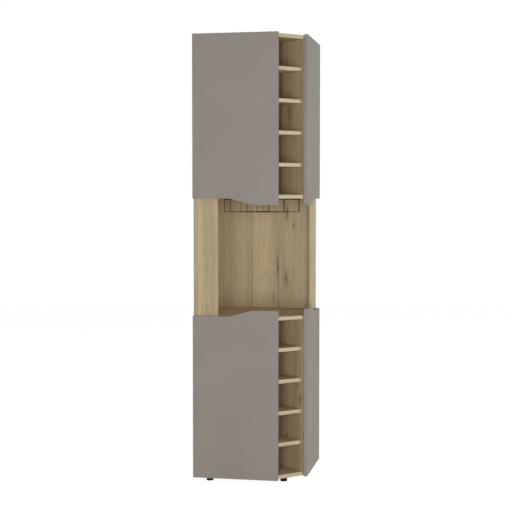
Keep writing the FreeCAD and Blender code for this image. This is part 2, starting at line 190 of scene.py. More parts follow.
def arc(middle: Sequence[float], radii: Sequence[float], steps: int, start: float = 0.0) -> Array:
    """Quarter of an ellipse, counter-clockwise: point = middle + (a cos(t), b sin(t)), with t from start on."""
    turn = np.linspace(start, start + math.pi / 2, steps)
    return np.stack([middle[0] + radii[0] * np.cos(turn), middle[1] + radii[1] * np.sin(turn)], axis=1)


def rounded_bar(width: float, low: float, high: float, radius: float) -> Array:
    """Outline of a flat bar, counter-clockwise, its two upper corners rounded by quarter circles."""
    right = arc((width / 2 - radius, high - radius), (radius, radius), CORNER_STEPS)
    return np.concatenate([[(-width / 2, low), (width / 2, low)], right, right[::-1] * (-1, 1)])


def disc_profile(radius: float, low: float, high: float, rounding: float, steps: int) -> Array:
    """Profile of a disc: out along its base, up the wall, round the upper rim by a quarter circle and in."""
    rim = arc((radius - rounding, high - rounding), (rounding, rounding), steps)
    return np.concatenate([[[0.0, low], [radius, low]], rim, [[0.0, high]]])


def circle(radius: float, steps: int) -> Array:
    """Outline of a circle, counter-clockwise."""
    angle = np.linspace(0.0, 2.0 * math.pi, steps, endpoint=False)
    return np.stack([radius * np.cos(angle), radius * np.sin(angle)], axis=1)


def at_cut(u: float, v: float, z: float = 0.0) -> Array:
    """Point u behind the cut corner's plane and v to the right of its middle."""
    return np.array([CUT_MIDDLE[0] + (v - u) * DIAGONAL, CUT_MIDDLE[1] + (v + u) * DIAGONAL, z])


def to_metres(points: Array) -> Array:
    """Millimetres from the left front corner turned into metres from the plan's middle."""
    return (points - (SIDE / 2, SIDE / 2, 0)) * MM


def add_object(name: str, data: bpy.types.ID) -> bpy.types.Object:
    """Make an object and put it into the scene.

    Args:
        name: its name.
        data: its mesh, lamp or camera.

    Returns:
        The object.
    """
    thing = bpy.data.objects.new(name, data)
    bpy.context.scene.collection.objects.link(thing)
    return thing


def add_piece(name: str, shape: Shape, body: str | None, smooth: float | None = 35.0) -> bpy.types.Object:
    """Make a mesh piece from a shape, weld its poles and let it ride on a body.

    Args:
        name: the piece's name.
        shape: points in millimetres and faces.
        body: the CAD body that carries it, or None for a piece that rides on no body.
        smooth: angle in degrees below which edges are shaded smooth, or None for flat faces.

    Returns:
        The new object, at the origin.
    """
    mesh = bpy.data.meshes.new(name)
    mesh.from_pydata(to_metres(shape.points).tolist(), [], shape.faces)
    work = bmesh.new()
    work.from_mesh(mesh)
    bmesh.ops.remove_doubles(work, verts=work.verts, dist=WELD)
    bmesh.ops.dissolve_degenerate(work, edges=work.edges, dist=WELD)
    bmesh.ops.recalc_face_normals(work, faces=work.faces)
    work.to_mesh(mesh)
    work.free()
    if smooth is not None:
        mesh.shade_smooth()
        mesh.set_sharp_from_angle(angle=math.radians(smooth))
    piece = add_object(name, mesh)
    if body is not None:
        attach(piece, body)
    LOG.info("piece %s: %d points", name, len(mesh.vertices))
    return piece


# Finishes


def linear(code: str) -> Rgba:
    """Turn an sRGB hex colour into linear light.

    Args:
        code: six hex digits after a hash sign.

    Returns:
        Red, green, blue and an alpha of 1.
    """
    parts = np.array([int(code[i:i + 2], 16) for i in (1, 3, 5)]) / 255.0
    light = np.where(parts <= 0.04045, parts / 12.92, ((parts + 0.055) / 1.055) ** 2.4)
    return (*light.tolist(), 1.0)


def add_node(tree: Tree, kind: str, settings: dict[Key, object] | None = None,
             links: dict[Key, Socket] | None = None, output: Key = 0) -> Socket:
    """Add a node, give its sockets and properties their values, and link its inputs.

    Args:
        tree: the node tree.
        kind: the node's type name without its ShaderNode prefix.
        settings: input sockets by name or index, or properties, with their values.
        links: input sockets by name or index, with the output sockets that feed them.
        output: the output socket that is wanted.

    Returns:
        That output.
    """
    node = tree.nodes.new("ShaderNode" + kind)
    properties = {key: value for key, value in (settings or {}).items() if isinstance(key, str) and key.islower()}
    for key, value in properties.items():
        setattr(node, key, value)
    for key, value in (settings or {}).items():
        if key not in properties:
            node.inputs[key].default_value = value
    for key, source in (links or {}).items():
        tree.links.new(source, node.inputs[key])
    return node.outputs[output]


def set_ramp(output: Socket, stops: Sequence[tuple[float, float | str]]) -> Socket:
    """Give a colour ramp its stops.

    Args:
        output: the colour ramp's colour output.
        stops: places from 0 to 1, each with a grey level or a hex colour.

    Returns:
        The same output.
    """
    ramp = output.node.color_ramp
    while len(ramp.elements) < len(stops):
        ramp.elements.new(1.0)
    for element, (place, tone) in zip(ramp.elements, stops):
        element.position = place
        element.color = linear(tone) if isinstance(tone, str) else grey(tone)
    return output


def grey(level: float) -> Rgba:
    """A linear grey."""
    return (level, level, level, 1.0)


class Grain(Enum):
    """How a decor lies on a board: the direction along the grain, then across it."""

    REAR_UPRIGHT = ((0, 0, 1), (1, 0, 0))
    SIDE_UPRIGHT = ((0, 0, 1), (0, 1, 0))
    RACK_UPRIGHT = ((0, 0, 1), (-DIAGONAL, DIAGONAL, 0))
    LEVEL = ((1, 0, 0), (0, 1, 0))          # along the left fronts
    LEVEL_SIDE = ((0, 1, 0), (1, 0, 0))     # along the right fronts
    ACROSS_RACK = ((DIAGONAL, DIAGONAL, 0), (-DIAGONAL, DIAGONAL, 0))

    def turn(self) -> Triple:
        """Euler angles that lay a pattern's X along the grain and its Y across it."""
        along, across = (Vector(direction) for direction in self.value)
        return tuple(Matrix((along, across, along.cross(across))).transposed().to_euler())


class Finish:
    """A finish that makes one Blender material, on first use."""

    name: str

    def paint(self, tree: Tree, place: Socket) -> Sockets:
        """Add the finish's nodes, and return what feeds each shader socket, or its value."""
        raise NotImplementedError

    def material(self) -> bpy.types.Material:
        """Make the finish's material once and then share it.

        Returns:
            The material.
        """
        made = bpy.data.materials.get(self.name)
        if made is None:
            made = bpy.data.materials.new(self.name)
            made.use_nodes = True
            tree = made.node_tree
            inputs = tree.nodes["Principled BSDF"].inputs
            place = add_node(tree, "TexCoord", output="Object")
            for name, source in self.paint(tree, place).items():
                if isinstance(source, float):
                    inputs[name].default_value = source
                else:
                    tree.links.new(source, inputs[name])
        return made

    def on(self, thing: bpy.types.Object) -> None:
        """Put the material into every slot of an object.

        Args:
            thing: the object.
        """
        if not thing.material_slots:
            thing.data.materials.append(self.material())
        for place in thing.material_slots:
            place.material = self.material()


@dataclass(frozen=True)
class OakDecor(Finish):
    """Melamine-faced board with an embossed print of knotty oak: matt and dry, soft straight grain, fine pores."""

    name: str
    grain: Grain
    light: str = "#bfad89"
    middle: str = "#b39f7c"
    warm: str = "#a98d66"
    joints: tuple[float, ...] = ()  # where the print shows joints between planks, metres across the grain
    tones: tuple[float, ...] = ()   # the planks' shades, one more than the joints
    figured: float = 0.8    # how much of the growth figure shows
    origin: Triple = (0.0, 0.0, 0.0)    # where the print starts, metres
    knots: float = 0.2      # share of cells that hold a knot
    marks: tuple[Mark, ...] = ()
    broad: float = 38.0     # width in millimetres of the broad bands of light and darker wood
    figure: float = 62.0    # width of the growth figure
    streak: float = 8.0     # width of the colour streaks; the real 1 mm streaks would be lost in the render
    pore: float = 2.8       # width of the pores, drawn coarser than the real 0.3 mm so that they show
    warm_band: float = 15.0     # width of the warmer bands
    rings: float = 7.0      # contour lines of the growth figure
    joint_fade: float = 0.9     # metres along a joint line until it has faded and come back
    joint_phase: float = -3.67
    knot_cell: float = 170.0    # millimetres between the places where a knot may be
    knot_tone: str = "#54422c"
    crack_tone: str = "#54442f"

    def paint(self, tree: Tree, place: Socket) -> Sockets:
        """Bands, streaks and pores are noise drawn out along the grain; contours of such noise make the figure.

        Args:
            tree: the node tree.
            place: the piece's coordinates.

        Returns:
            Shader sockets with their sources.
        """
        whole = add_node(tree, "Mapping", {"vector_type": "TEXTURE", "Location": self.origin,
                                           "Rotation": self.grain.turn()}, {"Vector": place})
        laid, plank_tone = self.planks(tree, whole) if self.joints else (whole, None)
        figure = self.stretched(tree, laid, stretch=12.0, width=self.figure, detail=1.5)
        rings = add_node(tree, "Math", {"operation": "MULTIPLY", 1: self.rings}, {0: figure})
        rings = add_node(tree, "Math", {"operation": "FRACT"}, {0: rings})
        broad = self.stretched(tree, laid, stretch=30.0, width=self.broad)
        streak = self.stretched(tree, laid, stretch=60.0, width=self.streak, detail=3.0, rough=0.6)
        pore = self.stretched(tree, laid, stretch=22.0, width=self.pore)
        warmth = self.stretched(tree, laid, stretch=45.0, width=self.warm_band)
        warmth = set_ramp(add_node(tree, "ValToRGB", None, {"Fac": warmth}), [(0.55, 0.0), (0.80, 0.38)])
        colour = set_ramp(add_node(tree, "ValToRGB", None, {"Fac": broad}), [(0.32, self.middle), (0.66, self.light)])
        colour = add_node(tree, "Mix", {"data_type": "RGBA", 7: linear(self.warm)}, {0: warmth, 6: colour}, 2)
        shades = (
            (self.figured, rings, [(0.0, 0.96), (0.25, 1.0), (0.75, 0.99), (0.93, 0.84), (1.0, 0.96)]),
            (0.95, streak, [(0.28, 0.87), (0.5, 0.97), (0.72, 1.04)]),
            (0.70, pore, [(0.30, 0.76), (0.42, 1.0)]),
        )
        for amount, value, stops in shades:
            colour = self.layer(tree, amount, colour, set_ramp(add_node(tree, "ValToRGB", None, {"Fac": value}), stops))
        colour = self.knotted(tree, laid, colour) if self.knots else colour
        for mark in self.marks:
            colour = self.cracked(tree, whole, colour, mark)
        if plank_tone is not None:
            colour = self.layer(tree, 1.0, colour, plank_tone)
        rough = add_node(tree, "MapRange", {"To Min": 0.66, "To Max": 0.46}, {"Value": pore})
        relief = add_node(tree, "Bump", {"Strength": 0.30, "Distance": 0.0003}, {"Height": pore})
        return {"Base Color": colour, "Roughness": rough, "Normal": relief, "IOR": 1.45}

    @staticmethod
    def layer(tree: Tree, amount: float, below: Socket, shade: Socket) -> Socket:
        """A colour multiplied by a shade, by an amount from 0 to 1."""
        settings = {"data_type": "RGBA", "blend_type": "MULTIPLY", "clamp_result": True, 0: amount}
        return add_node(tree, "Mix", settings, {6: below, 7: shade}, 2)

    def cracked(self, tree: Tree, laid: Socket, colour: Socket, mark: Mark) -> Socket:
        """Put one long dark crack or knot at a place: darkness falls with the distance in a stretched ellipse.

        Args:
            tree: the node tree.
            laid: coordinates with X along the grain and Y across it.
            colour: the board's colour so far.
            mark: place along and across the grain, then length and width.

        Returns:
            The colour with the crack.
        """
        along, across, length, width = mark
        wavy = add_node(tree, "TexNoise", {"Scale": 45.0, "Detail": 2.0}, {"Vector": laid}, "Color")
        wavy = add_node(tree, "VectorMath", {"operation": "MULTIPLY_ADD", 1: (0.02, 0.012, 0.0)}, {0: wavy, 2: laid})
        near = add_node(tree, "Mapping", {"vector_type": "TEXTURE", "Location": (along + 0.01, across + 0.006, 0.0),
                                          "Scale": (length, width, 1.0)}, {"Vector": wavy})
        far = add_node(tree, "VectorMath", {"operation": "LENGTH"}, {0: near}, "Value")
        dark = set_ramp(add_node(tree, "ValToRGB", None, {"Fac": far}),
                        [(0.0, 0.85), (0.22, 0.55), (0.42, 0.18), (1.0, 0.0)])
        return add_node(tree, "Mix", {"data_type": "RGBA", 7: linear(self.crack_tone)}, {0: dark, 6: colour}, 2)

    @staticmethod
    def stretched(tree: Tree, laid: Socket, stretch: float, width: float, detail: float = 2.0,
                  rough: float = 0.5) -> Socket:
        """Noise with marks of a width in millimetres, drawn out along the grain to stretch times that."""
        drawn = add_node(tree, "Mapping", {"vector_type": "TEXTURE", "Scale": (stretch, 1.0, 1.0)}, {"Vector": laid})
        return add_node(tree, "TexNoise", {"Scale": 1.0 / (width * MM), "Detail": detail, "Roughness": rough,
                                           "Distortion": 0.25}, {"Vector": drawn})

    def planks(self, tree: Tree, laid: Socket) -> tuple[Socket, Socket]:
        """Shift the print from plank to plank and draw the joints: a plank's number is the count of joints passed.

        Args:
            tree: the node tree.
            laid: coordinates with X along the grain and Y across it.

        Returns:
            The shifted coordinates, and a shade for each plank with a dark line at its joints.
        """
        parts = add_node(tree, "SeparateXYZ", None, {"Vector": laid}).node.outputs
        number = near = None
        for joint in self.joints:
            past = add_node(tree, "Math", {"operation": "GREATER_THAN", 1: joint}, {0: parts["Y"]})
            gap = add_node(tree, "Math", {"operation": "SUBTRACT", 1: joint}, {0: parts["Y"]})
            gap = add_node(tree, "Math", {"operation": "ABSOLUTE"}, {0: gap})
            number = past if number is None else add_node(tree, "Math", {"operation": "ADD"}, {0: number, 1: past})
            near = gap if near is None else add_node(tree, "Math", {"operation": "MINIMUM"}, {0: near, 1: gap})
        chance = add_node(tree, "TexWhiteNoise", {"noise_dimensions": "1D"}, {"W": number}, "Color")
        shift = add_node(tree, "VectorMath", {"operation": "MULTIPLY", 1: (5.0, 0.3, 2.0)}, {0: chance})
        moved = add_node(tree, "VectorMath", {"operation": "ADD"}, {0: laid, 1: shift})
        # Tenths of the ramp are millimetres: a joint line 2 mm wide with a soft margin, wide enough to show.
        near = add_node(tree, "Math", {"operation": "MULTIPLY", 1: 100.0}, {0: near})
        line = set_ramp(add_node(tree, "ValToRGB", None, {"Fac": near}),
                        [(0.0, 0.45), (0.10, 0.58), (0.24, 0.93), (0.6, 1.0)])
        turns = {"operation": "MULTIPLY_ADD", 1: 2 * math.pi / self.joint_fade, 2: self.joint_phase}
        wave = add_node(tree, "Math", turns, {0: parts["X"]})
        wave = add_node(tree, "Math", {"operation": "SINE"}, {0: wave})
        strength = add_node(tree, "MapRange", {"From Min": -0.8, "From Max": 0.6, "To Min": 0.35}, {"Value": wave})
        line = add_node(tree, "Mix", {"data_type": "RGBA", 6: grey(1.0)}, {0: strength, 7: line}, 2)
        share = add_node(tree, "Math", {"operation": "DIVIDE", 1: len(self.tones)}, {0: number})
        shades = add_node(tree, "ValToRGB", None, {"Fac": share})
        shades.node.color_ramp.interpolation = "CONSTANT"
        # Each step starts a little early, so that rounding can't miss it.
        steps = set_ramp(shades, [(max(0.0, i / len(self.tones) - 0.01), tone) for i, tone in enumerate(self.tones)])
        return moved, self.layer(tree, 1.0, steps, line)

    def knotted(self, tree: Tree, laid: Socket, colour: Socket) -> Socket:
        """Put a dark knot into some cells of a loose cell pattern.

        Args:
            tree: the node tree.
            laid: coordinates with X along the grain.
            colour: the board's colour so far.

        Returns:
            The colour with knots and the darker wood round them.
        """
        drawn = add_node(tree, "Mapping", {"vector_type": "TEXTURE", "Scale": (2.6, 1.0, 1.0)}, {"Vector": laid})
        cells = add_node(tree, "TexVoronoi", {"Scale": 1.0 / (self.knot_cell * MM), "Randomness": 0.9},
                         {"Vector": drawn}).node.outputs
        pick = add_node(tree, "SeparateColor", None, {"Color": cells["Color"]}, "Red")
        chosen = add_node(tree, "Math", {"operation": "LESS_THAN", 1: self.knots}, {0: pick})
        # Distance 0.04 of a 170 mm cell is a knot about 14 mm across.
        near = set_ramp(add_node(tree, "ValToRGB", None, {"Fac": cells["Distance"]}),
                        [(0.0, 0.85), (0.03, 0.70), (0.05, 0.25), (0.14, 0.08), (0.3, 0.0)])
        amount = add_node(tree, "Math", {"operation": "MULTIPLY"}, {0: near, 1: chosen})
        return add_node(tree, "Mix", {"data_type": "RGBA", 7: linear(self.knot_tone)}, {0: amount, 6: colour}, 2)


@dataclass(frozen=True)
class Skin(Finish):
    """A plain skin: two close tones in soft clouds, and finer noise in its gloss and relief."""

    name: str
    tones: tuple[tuple[float, str], ...]  # stops of the clouds' ramp
    cloud: float  # size of the clouds, millimetres
    detail: float  # octaves of the clouds
    values: tuple[tuple[str, float], ...]  # shader sockets that are even all over
    fine: float = 0.0  # size of the fine noise, millimetres
    drawn: float = 1.0  # how far that noise is drawn out into lines
    rough: tuple[float, float] = (0.0, 0.0)  # roughness at the fine noise's two ends
    relief: tuple[float, float] | None = None  # bump strength and height in metres

    def paint(self, tree: Tree, place: Socket) -> Sockets:
        """Clouds vary the tone, and fine noise gives gloss and relief.

        Args:
            tree: the node tree.
            place: the piece's coordinates.

        Returns:
            Shader sockets with their sources.
        """
        cloud = add_node(tree, "TexNoise", {"Scale": 1.0 / (self.cloud * MM), "Detail": self.detail}, {"Vector": place})
        tone = set_ramp(add_node(tree, "ValToRGB", None, {"Fac": cloud}), self.tones)
        sockets = {"Base Color": tone, **dict(self.values)}
        if self.fine:
            lines = add_node(tree, "Mapping", {"vector_type": "TEXTURE", "Scale": (1.0, self.drawn, 1.0)},
                             {"Vector": place})
            fine = add_node(tree, "TexNoise", {"Scale": 1.0 / (self.fine * MM), "Detail": 2.0}, {"Vector": lines})
            ends = dict(zip(("To Min", "To Max"), self.rough))
            sockets["Roughness"] = add_node(tree, "MapRange", ends, {"Value": fine})
            if self.relief:
                bump = dict(zip(("Strength", "Distance"), self.relief))
                sockets["Normal"] = add_node(tree, "Bump", bump, {"Height": fine})
        return sockets


# Board faced with matt taupe foil: even colour, soft sheen. Its 0.2 mm emboss is drawn coarser so that it shows.
FOIL = Skin("taupe_matt_foil", ((0.3, "#928a83"), (0.7, "#978f88")), 250.0, 3.0,
            (("IOR", 1.38), ("Specular IOR Level", 0.25)), 3.0, rough=(0.54, 0.64), relief=(0.08, 0.0003))
# Stamped steel with a thin bright plating: faint drawing lines, and dull patches of 11 mm. The last of the three is
# painted shade: a dark zinc tone for the shade inside the screws' cross recesses.
NICKEL, ZINC, RECESS_SHADE = (
    Skin(name, ((0.35, dull), (0.65, bright)), 1000.0 / 90.0, 3.0, (("Metallic", 1.0),), 1.2, 18.0, (low, high))
    for name, bright, dull, low, high in (
        ("nickel_plated_steel", "#c9c6bf", "#aaa69e", 0.18, 0.38),
        ("zinc_plated_steel", "#b9bcc0", "#8f9397", 0.28, 0.48),
        # painted shade: the dark tone of a screw's cross recess in shade
        ("painted_shade_in_screw_recess", "#4a4b4d", "#343536", 0.52, 0.72)))
# Black skins with a fine grit: powder coat on wire, and moulded polypropylene, which is duller. The tone follows the
# same noise as the relief, so the grit's tops carry a painted highlight and its pits painted shade.
POWDER, MOULDED = (
    Skin(name, ((0.35, low), (0.7, high)), grit, 2.0, (("IOR", 1.5), ("Specular IOR Level", gloss)), grit,
         rough=(rough - 0.08, rough + 0.08), relief=(0.25, 0.0002))
    for name, low, high, rough, grit, gloss in (
        ("black_powder_coat", "#141312", "#242220", 0.58, 1.5, 0.5),
        ("moulded_black_polypropylene", "#0b0a0a", "#151413", 0.66, 1.8, 0.2)))
# Clear soft polyurethane: cloudy, slightly see-through, with a smooth skin.
RUBBER = Skin("clear_soft_rubber", ((0.3, "#d9d8d2"), (0.7, "#efeeea")), 1000.0 / 260.0, 2.0,
              (("Roughness", 0.28), ("Transmission Weight", 0.45), ("IOR", 1.48)))
OAK_REAR = OakDecor("oak_board_rear_panel", Grain.REAR_UPRIGHT, joints=(0.0, 0.1247), tones=(0.82, 1.0, 0.92),
                    origin=(-0.073, 0.226, 0.0), light="#c9b58f", middle="#bca682", warm="#b09a6e", knots=0.0,
                    marks=((0.856, 0.161, 0.085, 0.022), (1.165, 0.165, 0.11, 0.016), (1.103, 0.195, 0.03, 0.012),
                           (0.915, 0.121, 0.14, 0.012), (0.776, 0.102, 0.03, 0.008), (0.44, 0.05, 0.08, 0.02),
                           (1.56, -0.04, 0.10, 0.02)))
OAK_SIDE = OakDecor("oak_board_side_panel", Grain.SIDE_UPRIGHT, joints=(-0.13, 0.0, 0.11),
                    tones=(0.92, 1.0, 0.95, 0.98), origin=(-0.226, 0.03, 0.4), knots=0.12)
OAK_POST = OakDecor("oak_board_left_posts", Grain.REAR_UPRIGHT, origin=(0.31, 0.2, 0.2), knots=0.0, figured=0.35,
                    light="#b9a784", middle="#ad9a78")
OAK_POST_SIDE = OakDecor("oak_board_right_posts", Grain.SIDE_UPRIGHT, origin=(0.31, 0.27, 0.2), knots=0.0,
                         figured=0.35)
OAK_UPRIGHT = OakDecor("oak_board_rack_uprights", Grain.RACK_UPRIGHT, origin=(0.1, 0.1, 0.7), knots=0.1,
                       marks=((0.902, -0.149, 0.12, 0.034), (-0.346, -0.232, 0.034, 0.022),
                              (-0.525, -0.133, 0.025, 0.014), (-0.288, -0.210, 0.022, 0.010)))
OAK_LEVEL = OakDecor("oak_board_level", Grain.LEVEL_SIDE, joints=(-0.266, 0.0), tones=(0.95, 1.0, 0.93),
                     origin=(0.115, 0.07, 0.0), knots=0.15)
OAK_SHELF = OakDecor("oak_board_niche_shelves", Grain.ACROSS_RACK, origin=(0.2, 0.5, 0.0), knots=0.0)
# Niche backs: printed hardboard of a darker tone, darkened further as painted shade for the back of the niches.
SHADED_OAK_BACKING = OakDecor("oak_printed_hardboard_painted_shade", Grain.RACK_UPRIGHT, origin=(0.4, 0.2, 0.3), knots=0.1,
                       light="#82745c", middle="#76684e", warm="#6e5b3f")
BAND = {"light": "#c3b595", "middle": "#b6a887", "warm": "#b59d78", "knots": 0.0, "broad": 12.0, "streak": 3.2}
BAND_CUT, BAND_LEVEL, BAND_RIGHT, BAND_UPRIGHT = (
    OakDecor("oak_edge_band_" + name, grain, origin=origin, **BAND) for name, grain, origin in (
        ("across_the_cut", Grain.ACROSS_RACK, (0.1, 0.0, 0.2)), ("left_fronts", Grain.LEVEL, (0.6, 0.0, 0.1)),
        ("right_fronts", Grain.LEVEL_SIDE, (0.6, 0.0, 0.1)), ("upright", Grain.REAR_UPRIGHT, (0.1, 0.4, 0.3))))
BAND_PANEL = OakDecor("oak_edge_band_outer_panels", Grain.REAR_UPRIGHT, origin=(0.2, 0.1, 0.6), knots=0.0)

# Sub-assemblies


def finish_nodes(finishes: dict[Finish, Sequence[str]]) -> None:
    """Give CAD nodes their finishes.

    Args:
        finishes: node names for each finish.
    """
    for finish, names in finishes.items():
        for name in names:
            finish.on(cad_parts[name])


@dataclass
class Carcass:
    """Panels, boards, racks and posts, with the bands on their visible edges."""

    band_proud: float = 0.4     # edge band past the board's edge
    band_sunk: float = 0.3      # band's base inside the board, so that no gap shows
    band_round: float = 0.6     # rounding of the band's arrises
    niche_half: float = 64.2
    shelf_in: float = 16.0      # niche shelves behind the cut corner
    board_in: float = 5.0       # the boards above and below them
    board_end: float = 354.3    # where the level boards' left front edge ends
    niche_pitch: float = 137.2
    levels: int = 4             # niche shelves in a rack
    stile_end: float = 107.0    # free edge of the left front board of the bay
    shelf_low: float = 363.0
    shelf_edge: float = 28.0    # front edge of the shelves behind the doors
    shelf_meet: float = 343.8   # where that edge meets the rack
    shelf_play: float = 0.5     # between shelf and panel
    screw_in: float = 50.0      # joining screws from the boards' ends
    caps: tuple[float, float] = (28.0, 714.0)   # levels of the screw caps
    cap_r: float = 6.5
    cap_rim: float = 0.2
    cap_rise: float = 0.9

    def band(self, start: Sequence[float], end: Sequence[float], across: Triple, out: Triple) -> Shape:
        """Edge band between two middles of a board's edge: a flat bar with rounded arrises, carried along it."""
        profile = rounded_bar(BOARD, -self.band_sunk, self.band_proud, self.band_round)
        return carried(profile, np.linspace(start, end, 2), across, out)

    def cut_bands(self) -> Shape:
        """Bands on the lower rack's cut corner: niche shelves and the boards above and below them.

        Returns:
            The bands.
        """
        places = [(self.shelf_in, BOTTOM_TOP + self.niche_pitch * level - BOARD / 2)
                  for level in range(1, self.levels + 1)]
        places += [(self.board_in, z) for z in BOARD_MIDDLES]
        ends = [[at_cut(u, side * self.niche_half, z) for side in (-1, 1)] for u, z in places]
        return joined(self.band(start, end, (0, 0, 1), (DIAGONAL, -DIAGONAL, 0)) for start, end in ends)

    def left_bands(self) -> Shape:
        """Bands on the level boards' edges behind the lower left door."""
        shelf = (INNER + self.shelf_play, self.shelf_edge, self.shelf_meet, self.shelf_low + BOARD / 2)
        return joined(self.band((x0, y, z), (x1, y, z), (0, 0, 1), (0, -1, 0))
                      for x0, y, x1, z in [*((INNER, FRONT, self.board_end, z) for z in BOARD_MIDDLES), shelf])

    def panel_band(self) -> Shape:
        """Band on the left panel's front edge."""
        x = EDGE_IN + BOARD / 2
        return self.band((x, FRONT, PANEL_LOW), (x, FRONT, PANEL_TOP), (1, 0, 0), (0, -1, 0))

    def post_bands(self) -> Shape:
        """Light bands on the left front board of the bay: beside the panel, and on its free edge."""
        x, y, free_x = INNER + BOARD / 2, FRONT + BOARD / 2, self.stile_end
        return joined([self.band((x, FRONT, COUNTER_TOP), (x, FRONT, CEILING), (1, 0, 0), (0, -1, 0)),
                       self.band((free_x, y, COUNTER_TOP), (free_x, y, CEILING), (0, 1, 0), (1, 0, 0))])

    def screw_caps(self) -> Shape:
        """Low domed caps over the joining screws of both panels and their back corner: an arc turned about each screw.

        Returns:
            All the caps.
        """
        base = [[0.0, -self.cap_rim], [self.cap_r - self.cap_rim, -self.cap_rim]]
        profile = np.concatenate([base, arc((0.0, self.cap_rim), (self.cap_r, self.cap_rise), steps=6)])
        first, last = FRONT + self.screw_in, SIDE - INNER - self.screw_in
        levels = (*self.caps, *(2 * MIDDLE - z for z in self.caps))
        low = (BOTTOM_TOP + COUNTER_TOP - BOARD) / 2
        spots = ([(y, z) for z in levels for y in (first, (first + last) / 2, last)],
                 [(SIDE - EDGE_IN - BOARD / 2, z) for z in (low, MIDDLE, 2 * MIDDLE - low)])
        panel, corner = (joined(turned(profile, (EDGE_IN, y, z), (-1, 0, 0), steps=24) for y, z in group)
                         for group in spots)
        return joined([panel, panel.to_right(), corner])

    def build(self) -> None:
        """Make the bands and caps and let them ride on the carcass."""
        cut, left, panel, posts = self.cut_bands(), self.left_bands(), self.panel_band(), self.post_bands()
        shapes = {
            "cut_corner_edge_bands": (joined([cut, cut.to_upper()]), BAND_CUT),
            "left_front_edge_bands": (joined([left, left.to_upper()]), BAND_LEVEL),
            "right_front_edge_bands": (joined([left.to_right(), left.to_right().to_upper()]), BAND_RIGHT),
            "outer_panel_edge_bands": (joined([panel, panel.to_right()]), BAND_PANEL),
            "bay_post_edge_bands": (joined([posts, posts.to_right()]), BAND_UPRIGHT),
            "screw_cover_caps": (self.screw_caps(), BAND_UPRIGHT),
        }
        for name, (shape, finish) in shapes.items():
            finish.on(add_piece(name, shape, "carcass"))

    def dress(self) -> None:
        """Give the boards their decor, each with its own grain."""
        finish_nodes({
            OAK_REAR: ["rear_outer_panel"],
            OAK_SIDE: ["left_outer_panel"],
            OAK_POST: ["bay_left_stile", "bay_corner_batten"],
            OAK_POST_SIDE: ["bay_right_stile"],
            OAK_UPRIGHT: [side + "_rack_upright" for side in SIDES],
            OAK_LEVEL: ["bottom_board", "counter_board", "bay_ceiling_board", "top_board",
                        "lower_shelf", "upper_shelf"],
            OAK_SHELF: ["%s_niche_shelf_%d" % (rack, level) for rack in ("lower", "upper")
                        for level in range(1, self.levels + 1)],
            SHADED_OAK_BACKING: ["lower_rack_back", "upper_rack_back"],
            ZINC: ["carcass_screws", "shelf_pins"],
        })


